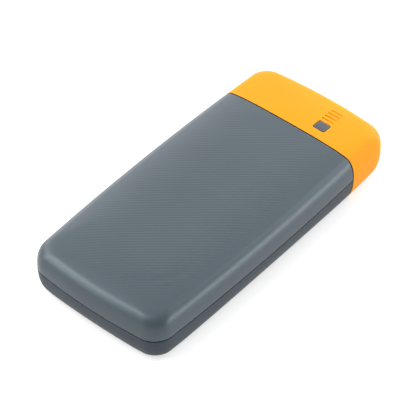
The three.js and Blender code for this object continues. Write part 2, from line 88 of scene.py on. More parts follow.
def bowed(px, py, inset):
    """Bends a straight-sided plan out to the bowed outline."""
    x, y, _, bow_x, bow_y = sizes(inset)
    return px * (1 + bow_x / x * (1 - (py / y) ** 2)), py * (1 + bow_y / y * (1 - (px / x) ** 2))


def inset_of(points):
    """How far inside the outline each point of a plan lies, by bisection."""
    points = np.abs(np.asarray(points, float))
    low, high = np.zeros(len(points)), np.full(len(points), HALF_WIDTH - 0.01)
    for _ in range(40):
        middle = (low + high) / 2
        x, y, radius, bow_x, bow_y = sizes(middle)
        px, py = points[:, 0].copy(), points[:, 1].copy()
        for _ in range(8):
            px = points[:, 0] / (1 + bow_x / x * (1 - np.minimum(py / y, 1) ** 2))
            py = points[:, 1] / (1 + bow_y / y * (1 - np.minimum(px / x, 1) ** 2))
        qx, qy = px - x + radius, py - y + radius
        away = np.hypot(np.maximum(qx, 0), np.maximum(qy, 0)) + np.minimum(np.maximum(qx, qy), 0)
        inside = away < radius
        low, high = np.where(inside, middle, low), np.where(inside, high, middle)
    return (low + high) / 2


def rise(half, inset):
    """Height above or below the parting plane at this inset, on the upper or lower half."""
    reach = np.clip(1 - inset / half["roll"], 0, 1)
    bulge = (1 - reach ** half["power"]) ** (1 / half["power"])
    return (half["height"] - half["crown"] * (1 - inset / HALF_WIDTH) ** 4) * bulge


def face_z(half, points):
    """Height of the outer surface over or under each point of a plan."""
    return PARTING_Z + half["sign"] * rise(half, inset_of(points))


def profile(half, first_rise, rows):
    """Insets and heights from just off the parting plane to the edge of the face, evenly spaced."""
    turn = np.linspace(0, math.pi / 2, 400)
    inset = half["roll"] * (1 - np.cos(turn) ** (2 / half["power"]))
    inset = np.concatenate([inset, np.linspace(half["roll"], FACE_INSET, 60)[1:]])
    height = rise(half, inset)
    run = np.concatenate([[0], np.cumsum(np.hypot(np.diff(inset), np.diff(height)))])
    start = np.interp(first_rise, height, run)
    stations = np.concatenate([[start, start + SUPPORT], np.linspace(start, run[-1], rows)[1:]])
    if first_rise == 0:         # no edge here, so no support loop
        stations = np.delete(stations, 1)
    return np.interp(stations, run, inset), np.interp(stations, run, height)


# ---------------------------------------------------------------- mesh building

class Skin:
    """A surface under construction: points in millimetres, and faces that look outwards."""

    def __init__(self):
        self.points = np.zeros((0, 3))
        self.faces = []

    def add(self, points):
        first = len(self.points)
        self.points = np.vstack([self.points, np.asarray(points, float).reshape(-1, 3)])
        return np.arange(first, len(self.points))

    def normals(self):
        """Area-weighted normals at the points."""
        found = np.zeros_like(self.points)
        triangles = np.array([t for f in self.faces for t in ((f[0], f[i], f[i + 1])
                                                             for i in range(1, len(f) - 1))])
        a, b, c = (self.points[triangles[:, k]] for k in range(3))
        cross = np.cross(b - a, c - a)
        for k in range(3):
            np.add.at(found, triangles[:, k], cross)
        return found / np.maximum(np.linalg.norm(found, axis=1), 1e-12)[:, None]

    def rims(self):
        """The open edges as closed chains of point numbers, with the surface on their left."""
        edges = set((f[i], f[(i + 1) % len(f)]) for f in self.faces for i in range(len(f)))
        onward = {a: b for a, b in sorted(edges) if (b, a) not in edges}
        chains = []
        while onward:
            start = min(onward)
            chain, at = [], start
            while at in onward:
                chain.append(at)
                at = onward.pop(at)
            chains.append(np.array(chain))
        return chains


def inside_polygon(points, polygon):
    x, y = points[:, 0][:, None], points[:, 1][:, None]
    ax, ay = polygon[:, 0][None], polygon[:, 1][None]
    bx, by = np.roll(ax, -1), np.roll(ay, -1)
    crosses = ((ay > y) != (by > y)) & (x < (bx - ax) * (y - ay) / (by - ay + 1e-30) + ax)
    return crosses.sum(1) % 2 == 1


def rounded_loop(centre, size, radius, grow=0.0, arc=6, step=None):
    """A rounded rectangle as a counter-clockwise loop of plan points."""
    half_w, half_h, r = size[0] / 2 + grow, size[1] / 2 + grow, radius + grow
    points = []
    for quarter, (sx, sy) in enumerate([(1, 1), (-1, 1), (-1, -1), (1, -1)]):
        for k in range(arc + 1):
            angle = (quarter + k / arc) * math.pi / 2
            points.append((sx * (half_w - r) + r * math.cos(angle),
                           sy * (half_h - r) + r * math.sin(angle)))
    points = np.array(points)
    if step:
        filled = []
        for a, b in zip(points, np.roll(points, -1, axis=0)):
            count = max(1, round(np.linalg.norm(b - a) / step))
            filled += [a + (b - a) * k / count for k in range(count)]
        points = np.array(filled)
    return points + np.asarray(centre)


def nearest_edge(points, loop):
    """Distance from each point to a closed loop."""
    best = np.full(len(points), np.inf)
    for a, b in zip(loop, np.roll(loop, -1, axis=0)):
        span = b - a
        t = np.clip(((points - a) @ span) / max(span @ span, 1e-12), 0, 1)
        best = np.minimum(best, np.linalg.norm(points - a - t[:, None] * span, axis=1))
    return best


def fill(skin, border, plan_axes, lift, lattice, holes=(), clear=0.5, flip=False):
    """Triangulates the area inside a chain of the skin's points, round some holes.

    plan_axes picks the two coordinates to work in, and lift makes points of them again. Each
    hole is a list of loops, the first of which is its edge."""
    outer = skin.points[border][:, plan_axes]
    loops = [loop for hole in holes for loop in hole]
    keep = inside_polygon(lattice, outer) & (nearest_edge(lattice, outer) > clear)
    for hole in holes:
        widest = hole[-1]
        keep &= ~inside_polygon(lattice, widest) & (nearest_edge(lattice, widest) > clear * 0.6)
    lattice = lattice[keep]
    flat = np.vstack([outer] + loops + [lattice])
    edges, first = [], 0
    for loop in [outer] + loops:
        edges += [(first + i, first + (i + 1) % len(loop)) for i in range(len(loop))]
        first += len(loop)
    found = delaunay_2d_cdt([Vector(p) for p in flat], edges, [], 0, 1e-7)
    placed, triangles, originals = found[0], found[2], found[3]
    if len(placed) != len(flat):
        raise ValueError("the plan's loops cross")
    order = np.array([sources[0] for sources in originals])
    triangles = order[np.array(triangles)]
    middles = flat[triangles].mean(1)
    wanted = inside_polygon(middles, outer)
    for hole in holes:
        wanted &= ~inside_polygon(middles, hole[0])
    numbers = np.concatenate([border, skin.add(lift(flat[len(border):]))])
    a, b, c = (flat[triangles[:, k]] for k in range(3))
    turn = np.cross(b - a, c - a)
    for triangle, ok, sense in zip(triangles, wanted, turn):
        if ok:
            corners = [int(n) for n in numbers[triangle]]
            skin.faces.append(corners[::-1] if (sense > 0) == flip else corners)


FILLET_TURNS = np.radians([30, 60, 90])


def make_solid(name, skin, depth_of, rim_of, relief=None):
    """Gives a skin its thickness and rounded rims, as one closed mesh.

    rim_of gives each rim point's profile, as rows of how far out, how deep and how far along the
    extra direction that it gives as well."""
    normal = skin.normals()
    count = len(skin.points)
    outer = skin.points if relief is None else skin.points + normal * relief(skin.points)[:, None]
    inner = skin.points - normal * depth_of(skin.points)[:, None]
    points, faces, rim_marks = [outer, inner], list(skin.faces), [np.zeros(2 * count)]
    faces += [[i + count for i in reversed(f)] for f in skin.faces]
    total = 2 * count
    for chain in skin.rims():
        here = skin.points[chain]
        ahead, behind = np.roll(here, -1, axis=0) - here, here - np.roll(here, 1, axis=0)
        n = normal[chain]
        out_a, out_b = (np.cross(d, n) / np.linalg.norm(np.cross(d, n), axis=1)[:, None]
                        for d in (ahead, behind))
        out = (out_a + out_b) / (1 + (out_a * out_b).sum(1))[:, None]
        rows = [chain]
        profiles, extra = rim_of(here, out)
        for k in range(profiles.shape[1]):
            along, deep, far = (profiles[:, k, j][:, None] for j in range(3))
            points.append(here + out * along - n * deep + extra * far)
            rows.append(np.arange(total, total + len(chain)))
            # past the rounded edge the rows are marked -1, and the materials paint shade on them,
            # dark as in a deep gap
            rim_marks.append(np.full(len(chain), 1.0 if k < len(FILLET_TURNS) else -1.0))
            total += len(chain)
        rows.append(chain + count)
        for row, following in zip(rows, rows[1:]):
            for i in range(len(chain)):
                j = (i + 1) % len(chain)
                faces.append([int(row[j]), int(row[i]), int(following[i]), int(following[j])])
        rim_marks[0][chain] = 0.6
    return mesh_object(name, np.vstack(points), faces, np.concatenate(rim_marks))


SHARP_ANGLE = math.radians(35)


def mesh_object(name, points, faces, rim_marks=None):
    """A smooth mesh from points in millimetres. The last argument marks 1 on rubbed edges and -1 on
    the walls in the gaps, where the materials paint dark shade.
    """
    mesh = bpy.data.meshes.new(name)
    mesh.from_pydata([tuple(p) for p in np.asarray(points) * MM], [], faces)
    mesh.validate()
    mesh.polygons.foreach_set("use_smooth", [True] * len(mesh.polygons))
    mesh.set_sharp_from_angle(angle=SHARP_ANGLE)
    attribute = mesh.attributes.new("rim", "FLOAT", "POINT")
    if rim_marks is not None:
        attribute.data.foreach_set("value", np.asarray(rim_marks, np.float32))
    piece = bpy.data.objects.new(name, mesh)
    bpy.context.scene.collection.objects.link(piece)
    return piece


def fillet_rows():
    """The first rows of a rim: a quarter turn from the skin to the rim's wall."""
    return [(FILLET * math.sin(t), FILLET * (1 - math.cos(t)), 0.0) for t in FILLET_TURNS]


# ---------------------------------------------------------------- the shells and the cap

# how many faces lie along each stretch of a level, and how many levels a moulding has
SHELL_SIDE_STEPS, CAP_SIDE_STEPS, CORNER_STEPS, SHOULDER_STEPS, END_STEPS = 46, 12, 14, 3, 26
SHELL_ROWS, CAP_ROWS = 24, 26
END_REACH = 26.0                # the port face's columns stand at fixed places up to here


def level(inset, cut_y, side_steps):
    """One level's outline, from the cut at +X round the +Y end to the cut at -X."""
    x, y, radius, _, _ = sizes(inset)
    reach = min(END_REACH, 0.93 * (x - radius))
    along = np.linspace(0, 1, side_steps + 1)[:-1]
    sides = cut_y + (y - radius - cut_y) * along
    sides = np.insert(sides, 1, cut_y + SUPPORT)
    turn = np.linspace(0, math.pi / 2, CORNER_STEPS + 1)[:-1]
    half = [(x, s) for s in sides]
    half += [(x - radius + radius * math.cos(t), y - radius + radius * math.sin(t)) for t in turn]
    half += [(s, y) for s in np.linspace(x - radius, reach, SHOULDER_STEPS + 1)[:-1]]
    half += [(s, y) for s in np.linspace(reach, 0, END_STEPS // 2 + 1)[:-1]]
    plan = np.array(half + [(0.0, y)] + [(-px, py) for px, py in reversed(half)])
    return np.stack(bowed(plan[:, 0], plan[:, 1], inset), axis=1)


def lay_levels(skin, levels, cut_y, side_steps, leave_out=None):
    """Joins the levels into rows of quads. leave_out(row, column) says which stay open."""
    rows = []
    for inset, z in levels:
        plan = level(inset, cut_y, side_steps)
        rows.append(skin.add(np.column_stack([plan, np.full(len(plan), z)])))
    for r in range(len(rows) - 1):
        for c in range(len(rows[r]) - 1):
            if leave_out is None or not leave_out(r, c):
                skin.faces.append([int(n) for n in (rows[r][c], rows[r][c + 1],
                                                    rows[r + 1][c + 1], rows[r + 1][c])])
    return rows


def lattice_over(area, across, along, angle=0.0):
    """Plan points on a grid turned by angle, with one spacing across it and one along."""
    x0, x1, y0, y1 = area
    span = math.hypot(x1 - x0, y1 - y0) / 2
    a, b = np.meshgrid(np.arange(-span, span, along), np.arange(-span, span, across))
    c, s = math.cos(angle), math.sin(angle)
    x = (x0 + x1) / 2 + a * c - b * s
    y = (y0 + y1) / 2 + a * s + b * c
    return np.column_stack([x.ravel(), y.ravel()])


def close_face(skin, row, half, cut_y, lattice, holes=(), spacing=2.0, clear=0.5):
    """Closes a face inside its last level and the straight cut that joins the level's ends."""
    right, left = skin.points[row[0]], skin.points[row[-1]]
    count = int((right[0] - left[0]) / spacing)
    xs = np.linspace(left[0], right[0], count + 1)[1:-1]
    lines = []
    for y in (cut_y, cut_y + SUPPORT):
        plan = np.column_stack([xs, np.full(len(xs), y)])
        lines.append(skin.add(np.column_stack([plan, face_z(half, plan)])))
    edge, inner = lines
    outer = [row[-1], *edge, row[0]]
    following = [row[-2], *inner, row[1]]
    for i in range(len(outer) - 1):
        face = [int(n) for n in (outer[i], outer[i + 1], following[i + 1], following[i])]
        skin.faces.append(face[::half["sign"]])
    border = np.concatenate([row[1:-1], inner])

    def lift(plan):
        return np.column_stack([plan, face_z(half, plan)])

    fill(skin, border, [0, 1], lift, lattice, holes, clear, flip=half["sign"] < 0)


SPIGOT_DEPTH, SPIGOT_WALL, SPIGOT_LENGTH, SPIGOT_ROOT = WALL + 0.3, 1.5, 4.65, 49.2
LAP_OUTSIDE, LAP_HEIGHT, LAP_STOP = 1.25, 1.55, 46.0
RIB_ANGLE, RIB_PITCH, RIB_HEIGHT = math.radians(41), 1.6, 0.01
RIB_INSET = (7.5, 11.5)         # the ribs fade in between these insets


def rib_relief(points):
    """Fine parallel ribs, moulded into the flat of the upper shell at a slant."""
    plan = points[:, :2]
    inset = np.where(points[:, 2] > THICKNESS - 3, inset_of(plan), 0)
    fade = np.clip((inset - RIB_INSET[0]) / (RIB_INSET[1] - RIB_INSET[0]), 0, 1)
    fade = fade * fade * (3 - 2 * fade)
    fade *= np.clip((CAP_EDGE_Y - 1.2 - plan[:, 1]) / 1.5, 0, 1)
    across = -plan[:, 0] * math.sin(RIB_ANGLE) + plan[:, 1] * math.cos(RIB_ANGLE)
    return RIB_HEIGHT * fade * (np.cos(2 * math.pi * across / RIB_PITCH) - 1)


# for the long sides and then the near end: how far the lower roll is drawn in at the middle of the
# side, how much less by some distance along it, and that distance
EASE = ((0.68, 0.9, 60.0), (0.4, 0.46, 23.0))


def ease_roll(points):
    """Draws the lower shell's roll in at mid-side, so its bottom edge is straighter."""
    inset = inset_of(points[:, :2])
    share = np.clip(inset / FACE_INSET, 0, 1)
    share = 27 / 4 * share * (1 - share) ** 2       # 1 a third of the way in, 0 at both ends
    reach = np.abs(points[:, :2]) / np.column_stack([HALF_WIDTH - inset, HALF_LENGTH - inset])
    weight = np.column_stack([reach[:, 0] ** 4, np.where(points[:, 1] < 0, reach[:, 1] ** 8, 0)])
    away = np.abs(points[:, 1::-1]) / [at for _, _, at in EASE]
    middle, fall, _ = np.transpose(EASE)
    pull = middle - fall * np.minimum(away ** 2, 1.1)
    points[:, :2] -= np.sign(points[:, :2]) * share[:, None] * weight * pull


def shell(name, half, lattice, spacing, relief=None):
    """One half shell. It is laid out round the +Y end and then turned to the -Y end."""
    cut_y = -(CAP_EDGE_Y - JOINT_GAP / 2 - FILLET)
    skin = Skin()
    insets, heights = profile(half, PARTING_GAP / 2 + FILLET, SHELL_ROWS)
    levels = [(i, PARTING_Z + half["sign"] * h) for i, h in zip(insets, heights)]
    if half["sign"] < 0:
        last = lay_levels(skin, levels[::-1], cut_y, SHELL_SIDE_STEPS)[0]
    else:
        last = lay_levels(skin, levels, cut_y, SHELL_SIDE_STEPS)[-1]
    close_face(skin, last, half, cut_y, lattice, spacing=spacing)
    skin.points[:, :2] *= -1    # half a turn about Z
    if half["sign"] < 0:
        ease_roll(skin.points)

    def depth_of(points):
        depth = np.full(len(points), WALL)
        if half["sign"] > 0:
            near = (points[:, 2] < PARTING_Z + LAP_HEIGHT + 0.4) & (points[:, 1] < LAP_STOP + 1)
            depth[near] = LAP_OUTSIDE - GAP
        depth[points[:, 1] > SPIGOT_ROOT] = SPIGOT_DEPTH + SPIGOT_WALL
        return depth

    def rim_of(here, out):
        joint = out[:, 1] > 0.7     # the rims that face the cap
        start = fillet_rows()
        spigot_end = SPIGOT_DEPTH + SPIGOT_WALL
        spigot = start + [(FILLET, SPIGOT_DEPTH, 0), (FILLET, SPIGOT_DEPTH, SPIGOT_LENGTH),
                          (FILLET, spigot_end, SPIGOT_LENGTH)]
        if half["sign"] > 0:
            parting = start + [(FILLET, 0.5, 0), (FILLET, 0.7, 0), (FILLET, LAP_OUTSIDE - GAP, 0)]
            plain = parting
        else:
            parting = start + [(FILLET, LAP_OUTSIDE, 0), (FILLET, LAP_OUTSIDE, LAP_HEIGHT),
                               (FILLET, WALL, LAP_HEIGHT)]
            plain = start + [(FILLET, LAP_OUTSIDE, 0), (FILLET, 1.6, 0), (FILLET, WALL, 0)]
        profiles = np.tile(np.array(parting, float), (len(here), 1, 1))
        profiles[here[:, 1] > LAP_STOP] = np.array(plain, float)
        profiles[joint] = np.array(spigot, float)
        extra = np.where(joint[:, None], [0.0, 1.0, 0.0], [0.0, 0.0, 1.0])
        return profiles, extra

    return make_solid(name, skin, depth_of, rim_of, relief)


upper_lattice = lattice_over(SHELL_AREA, RIB_PITCH / 7, 3.2, RIB_ANGLE)
upper_shell = shell("upper_shell_moulding", UPPER, upper_lattice, 1.4, rib_relief)
lower_lattice = lattice_over(SHELL_AREA, 3.5, 3.5)
lower_shell = shell("lower_shell_moulding", LOWER, lower_lattice, 2.0)


def cap():
    """The end cap, with its port windows, button hole and gauge slots."""
    cut_y = CAP_EDGE_Y + JOINT_GAP / 2 + FILLET
    skin = Skin()
    top = list(zip(*profile(UPPER, 0, CAP_ROWS)))
    under = list(zip(*profile(LOWER, 0, CAP_ROWS)))
    levels = [(i, PARTING_Z - h) for i, h in under[::-1]] + [(i, PARTING_Z + h) for i, h in top[1:]]
    heights = np.array([z for _, z in levels])
    low, high = (int(np.argmax(heights > z)) for z in PORT_BLOCK_Z)
    first = CAP_SIDE_STEPS + 1 + CORNER_STEPS + SHOULDER_STEPS

    def window_area(r, c):
        return low <= r < high and first <= c < first + END_STEPS

    rows = lay_levels(skin, levels, cut_y, CAP_SIDE_STEPS, window_area)
    insets = np.array([i for i, _ in levels])

    # the port face, with a window for each socket
    block = [rows[low][c] for c in range(first, first + END_STEPS + 1)]
    block += [rows[r][first + END_STEPS] for r in range(low + 1, high + 1)]
    block += [rows[high][c] for c in range(first + END_STEPS - 1, first - 1, -1)]
    block += [rows[r][first] for r in range(high - 1, low, -1)]

    def port_face(plan):
        inset = np.interp(plan[:, 1], heights[low:high + 1], insets[low:high + 1])
        x, y, _, _, bow_y = sizes(inset)
        return np.column_stack([plan[:, 0], y + bow_y * (1 - (plan[:, 0] / x) ** 2), plan[:, 1]])

    windows = []
    for port in (USB_A, USB_C):
        for x in port["x"]:
            grow = [GAP + FILLET + extra for extra in (0, SUPPORT)]
            windows.append([rounded_loop((x, PORT_Z), port["size"], port["radius"], g, 8, 0.6)
                            for g in grow])
    lattice = lattice_over(PORT_AREA, 0.9, 0.9)
    fill(skin, np.array(block), [0, 2], port_face, lattice, windows, 0.55, flip=True)

    # the top face, with the button's hole and the gauge's slots
    edge = [FILLET, FILLET + SUPPORT]
    holes = [[rounded_loop(BUTTON_AT, BUTTON_SIZE, BUTTON_RADIUS, BUTTON_CLEAR + g, 8, 0.5)
              for g in edge]]
    holes += [[rounded_loop((BAR_X, y), BAR_SIZE, BAR_RADIUS, g, 6, 0.5) for g in edge]
              for y in BAR_Y]
    lattice = lattice_over(CAP_AREA, 2.2, 2.2)
    fine = lattice_over(BUTTON_AREA, 0.7, 0.7)

    def by_gauge(plan):
        """Whether a point is near enough to the button or the gauge to need the finer lattice."""
        return (np.abs(plan[:, 0] - BAR_X) < 6) & (plan[:, 1] > 56.5) & (plan[:, 1] < 77)

    lattice = np.vstack([lattice[~by_gauge(lattice)], fine[by_gauge(fine)]])
    close_face(skin, rows[-1], UPPER, cut_y, lattice, holes)
    close_face(skin, rows[0], LOWER, cut_y, lattice_over(CAP_AREA, 3, 3))

    def depth_of(points):
        return np.full(len(points), WALL)

    def rim_of(here, out):
        rows = fillet_rows() + [(FILLET, WALL / 2, 0), (FILLET, WALL - FILLET, 0),
                                (FILLET * 0.3, WALL - FILLET * 0.05, 0)]
        return np.tile(np.array(rows, float), (len(here), 1, 1)), np.zeros((len(here), 3))

    return make_solid("end_cap_moulding", skin, depth_of, rim_of)


end_cap = cap()


# the seal's section: the place across the joint, in half widths, and the depth below the surface
SEAL_SECTION = ((-1, 0.13), (-0.75, 0.07), (0, 0.05), (0.75, 0.07), (1, 0.13), (1, 1.2),
                (1, 2.38), (-1, 2.38), (-1, 1.2))
SEAL_CLEAR, SEAL_COLUMNS = 0.02, 16


def joint_seal():
    """The thin black ring in the joint, just under the surfaces on either side of it. It is a seal,
    and its black also stands in for the shade in the gap, as painted shade.
    """
    side = []
    for half in (LOWER, UPPER):
        for inset, height in list(zip(*profile(half, 0, CAP_ROWS)))[::half["sign"]]:
            x, y, _, bow_x, _ = sizes(inset)
            side.append((x + bow_x * (1 - (CAP_EDGE_Y / y) ** 2),
                         PARTING_Z + half["sign"] * height))
    del side[len(side) // 2]    # the parting plane, which both halves hold

    def flat(half, xs):
        plan = np.column_stack([xs, np.full(len(xs), CAP_EDGE_Y)])
        return np.column_stack([xs, face_z(half, plan)])

    top = flat(UPPER, np.linspace(side[-1][0], 0, SEAL_COLUMNS)[1:])
    under = flat(LOWER, np.linspace(0, side[0][0], SEAL_COLUMNS)[:-1])
    right = np.vstack([under, side, top])
    line = np.vstack([right, (right * [-1, 1])[-2:0:-1]])
    ahead = np.roll(line, -1, axis=0) - np.roll(line, 1, axis=0)
    ahead /= np.linalg.norm(ahead, axis=1)[:, None]
    inward = np.column_stack([-ahead[:, 1], ahead[:, 0]])
    half_width = JOINT_GAP / 2 - SEAL_CLEAR
    rings = []
    for y, depth in SEAL_SECTION:
        plan = line + inward * depth
        rings.append(np.column_stack([plan[:, 0], np.full(len(plan), CAP_EDGE_Y + y * half_width),
                                      plan[:, 1]]))
    return loft(rings, closed_tube=True)


# ---------------------------------------------------------------- lofted small pieces

def loft(rings, closed_tube=False):
    """Points and faces through rings of equal count. Ends are closed by a fan, or joined."""
    count = len(rings[0])
    points = [np.asarray(r, float) for r in rings]
    faces = []
    total = len(rings)
    for r in range(total if closed_tube else total - 1):
        a, b = r * count, (r + 1) % total * count
        for i in range(count):
            j = (i + 1) % count
            faces.append([a + i, a + j, b + j, b + i])
    points = np.vstack(points)
    if not closed_tube:
        for ring, flip in ((0, True), (total - 1, False)):
            centre = len(points)
            points = np.vstack([points, np.mean(rings[ring], axis=0)])
            start = ring * count
            for i in range(count):
                face = [start + i, start + (i + 1) % count, centre]
                faces.append(face[::-1] if flip else face)
    return points, faces


def merged(parts):
    """Several sets of points and faces as one, with each part's material number."""
    points, faces, material = [], [], []
    total = 0
    for number, (p, f) in parts:
        points.append(p)
        faces += [[i + total for i in face] for face in f]
        material += [number] * len(f)
        total += len(p)
    return np.vstack(points), faces, material


def level_ring(centre, size, radius, z, arc=6, step=0.7, grow=0.0):
    """A rounded rectangle lying level at height z, counter-clockwise from above."""
    plan = rounded_loop(centre, size, radius, grow, arc, step)
    return np.column_stack([plan, np.full(len(plan), z)])


STEM_SIZE, STEM_RADIUS, STEM_FOOT_Z = 3, 0.6, 22.6
FLANGE_GROWTH, FLANGE_RADIUS, FLANGE_THICK, FLANGE_DROP = (1.6, 1.2), BUTTON_RADIUS + 0.8, 0.9, 0.52
KEY_SINK, KEY_EDGE, KEY_DOME = 0.02, 0.4, 0.05


def button_key():
    """The status button: a stem and flange under the skin, and a softly domed key in its hole."""
    top = float(face_z(UPPER, [BUTTON_AT])[0])
    shoulder = top - KEY_SINK - KEY_EDGE
    flange_top = top - WALL - FLANGE_DROP
    outline = rounded_loop((0, 0), BUTTON_SIZE, BUTTON_RADIUS, 0, 8, 0.5)
    count = len(outline)
    size = np.array(BUTTON_SIZE)
    straight = size / 2 - BUTTON_RADIUS
    corner = np.sign(outline) * np.maximum(np.abs(outline) - straight, 0) / BUTTON_RADIUS
    along = np.clip(outline / straight, -1, 1)

    def ring(ring_size, radius, z):
        """The key's outline at another size and corner radius, with as many points."""
        plan = along * (ring_size / 2 - radius) + corner * radius + BUTTON_AT
        return np.column_stack([plan, np.full(count, z)])

    stem, flange = np.full(2, STEM_SIZE), size + FLANGE_GROWTH
    rings = [ring(stem, STEM_RADIUS, STEM_FOOT_Z),
             ring(stem, STEM_RADIUS, flange_top - FLANGE_THICK),
             ring(flange, FLANGE_RADIUS, flange_top - FLANGE_THICK),
             ring(flange, FLANGE_RADIUS, flange_top),
             ring(size, BUTTON_RADIUS, flange_top),
             ring(size, BUTTON_RADIUS, top - 1.0),
             ring(size, BUTTON_RADIUS, shoulder)]
    edge_start = len(rings)
    for turn in np.radians([20, 40, 60, 80, 90]):
        pull = KEY_EDGE * (1 - math.cos(turn))
        rings.append(ring(size - 2 * pull, BUTTON_RADIUS - pull,
                          shoulder + KEY_EDGE * math.sin(turn)))
    edge_end = len(rings)
    for share in (0.8, 0.55, 0.3, 0.12):
        rings.append(ring((size - 2 * KEY_EDGE) * share, (BUTTON_RADIUS - KEY_EDGE) * share,
                          top - KEY_SINK))
    points, faces = loft(rings)
    skin_z = face_z(UPPER, points[:, :2])
    on_top = points[:, 2] > top - 1.1       # these follow the cap's surface
    away = np.linalg.norm((points[:, :2] - BUTTON_AT) / (size / 2), axis=1)
    points[:, 2] += np.where(on_top, skin_z - top + KEY_DOME * np.clip(1 - away ** 2, 0, 1), 0)
    rim_marks = np.zeros(len(points))
    rim_marks[edge_start * count:edge_end * count] = 1
    return points, faces, rim_marks


status_button = mesh_object("status_button_key", *button_key())
seal_ring = mesh_object("joint_seal_ring", *joint_seal())


GUIDE_BASE_SIZE, GUIDE_BASE_Z = (8.6, 9.44), (21.2, 22.3)
BAR_FOOT_Z, BAR_SINK, BAR_EDGE, BAR_CLEAR = 22.2, 0.34, 0.2, 0.12


def guide_bars():
    """The light guide: four clear fins that stand in the slots, on a common base."""
    middle = (BAR_X, float(np.mean(BAR_Y)))
    base = [level_ring(middle, GUIDE_BASE_SIZE, 0.5, z, 3, 1.2) for z in GUIDE_BASE_Z]
    parts = [(0, loft(base))]
    for y in BAR_Y:
        centre = (BAR_X, y)
        top = float(face_z(UPPER, [centre])[0]) - BAR_SINK
        rings = [level_ring(centre, BAR_SIZE, BAR_RADIUS, z, 5, 0.5, -BAR_CLEAR)
                 for z in (BAR_FOOT_Z, top - 0.6, top - BAR_EDGE)]
        for turn in np.radians([30, 60, 90]):
            pull = BAR_EDGE * (1 - math.cos(turn))
            z = top - BAR_EDGE + BAR_EDGE * math.sin(turn)
            rings.append(level_ring(centre, BAR_SIZE, BAR_RADIUS, z, 5, 0.5, -BAR_CLEAR - pull))
        parts.append((0, loft(rings)))
    points, faces, _ = merged(parts)
    return points, faces


light_guide = mesh_object("gauge_light_guide_bars", *guide_bars())


# ---------------------------------------------------------------- sockets

def section_ring(x, size, radius, y, grow=0.0, arc=5, step=1.0, z=PORT_Z):
    """A rounded rectangle in XZ, counter-clockwise seen from the front of the ports."""
    plan = rounded_loop((0, 0), size, radius, grow, arc, step)
    return np.column_stack([x - plan[:, 0], np.full(len(plan), y), z + plan[:, 1]])


def tube(x, port):
    """A socket's folded metal shell, with rolled front edges."""
    wall, size, radius = port["wall"], port["size"], port["radius"]
    back = PORT_FACE_Y - port["depth"]
    lip = wall * 0.45
    outer = [section_ring(x, size, radius, y, g) for y, g in
             ((back, -lip * 0.5), (back + lip, 0), (PORT_FACE_Y - lip, 0),
              (PORT_FACE_Y - lip * 0.3, -lip * 0.3), (PORT_FACE_Y, -lip))]
    inner = [section_ring(x, size, radius, y, -g) for y, g in
             ((PORT_FACE_Y, wall - lip * 0.6), (PORT_FACE_Y - lip * 0.3, wall - lip * 0.15),
              (PORT_FACE_Y - lip * 1.4, wall), (back + lip, wall), (back, wall - lip * 0.5))]
    return loft(outer + inner, closed_tube=True)


def strip(x, path, width, thick):
    """A bent metal strip: its path is in YZ, and its width lies along X."""
    path = np.array(path, float)
    step = np.gradient(path, axis=0)
    step /= np.linalg.norm(step, axis=1)[:, None]
    normal = np.column_stack([-step[:, 1], step[:, 0]])
    edge = thick * 0.3
    corners = []
    for sx, sn in ((-1, -1), (1, -1), (1, 1), (-1, 1)):
        corners.append((sx * (width / 2 - edge), sn * thick / 2))
        corners.append((sx * width / 2, sn * (thick / 2 - edge)))
    corners.sort(key=lambda c: math.atan2(c[1], c[0]))
    return loft([[(x + across, y + ny * up, z + nz * up) for across, up in corners]
                 for (y, z), (ny, nz) in zip(path, normal)])


def tongue_body(x, port, size, recess, block, z):
    """The insulator: a block at the back of the shell, with the contact tongue in front."""
    back = PORT_FACE_Y - port["depth"] + 0.05
    front = PORT_FACE_Y - recess
    room = (port["size"][0] - 2 * port["wall"] - 0.2, port["size"][1] - 2 * port["wall"] - 0.2)
    radius = max(port["radius"] - port["wall"] - 0.1, 0.3)
    rings = [section_ring(x, room, radius, y, 0) for y in (back, back + block)]
    nose = size[1] * 0.3
    corner = size[1] * 0.25
    count = len(rings[0])

    def blade(y, grow):
        ring = section_ring(x, size, corner, y, grow, z=PORT_Z + z)
        share = np.linspace(0, len(ring), count, endpoint=False)
        pick = np.arange(len(ring) + 1)
        closed = np.vstack([ring, ring[:1]])
        return np.column_stack([np.interp(share, pick, closed[:, k]) for k in range(3)])

    rings += [blade(y, g) for y, g in ((back + block, 0), (front - nose, 0),
                                       (front - nose * 0.3, -nose * 0.3), (front, -nose))]
    return loft(rings)


def usb_a(number, x):
    """A USB-A socket: its shell with four springs, and its tongue with four contacts."""
    springs = []
    for side in (1, -1):
        wall_z = PORT_Z + side * (USB_A["size"][1] / 2 - USB_A["wall"] - 0.08)
        for offset in (-3.2, 3.2):
            path = [(PORT_FACE_Y - 1.3, wall_z), (PORT_FACE_Y - 2.4, wall_z - side * 0.12),
                    (PORT_FACE_Y - 3.8, wall_z - side * 0.42),
                    (PORT_FACE_Y - 4.8, wall_z - side * 0.5),
                    (PORT_FACE_Y - 6.0, wall_z - side * 0.3), (PORT_FACE_Y - 7.0, wall_z)]
            springs.append((0, strip(x + offset, path, 1.7, 0.2)))
    points, faces, _ = merged([(0, tube(x, USB_A))] + springs)
    socket = mesh_object(f"usb_a_socket_{number}", points, faces)
    size, z = (11.1, 1.84), 1.25
    parts = [(0, tongue_body(x, USB_A, size, 0.9, 4, z))]
    under = PORT_Z + z - size[1] / 2
    for offset in (-3.5, -1.0, 1.0, 3.5):
        longer = 0.5 if abs(offset) > 2 else 0
        path = [(PORT_FACE_Y - 2.0 + longer, under + 0.05), (PORT_FACE_Y - 3.0, under - 0.06),
                (PORT_FACE_Y - 4.2, under - 0.22), (PORT_FACE_Y - 5.2, under - 0.12),
                (PORT_FACE_Y - 6.4, under - 0.02), (PORT_FACE_Y - 9.4, under - 0.02)]
        parts.append((1, strip(x + offset, path, 1.0, 0.12)))
    points, faces, numbers = merged(parts)
    tongue = mesh_object(f"usb_a_insert_{number}", points, faces)
    return socket, tongue, numbers


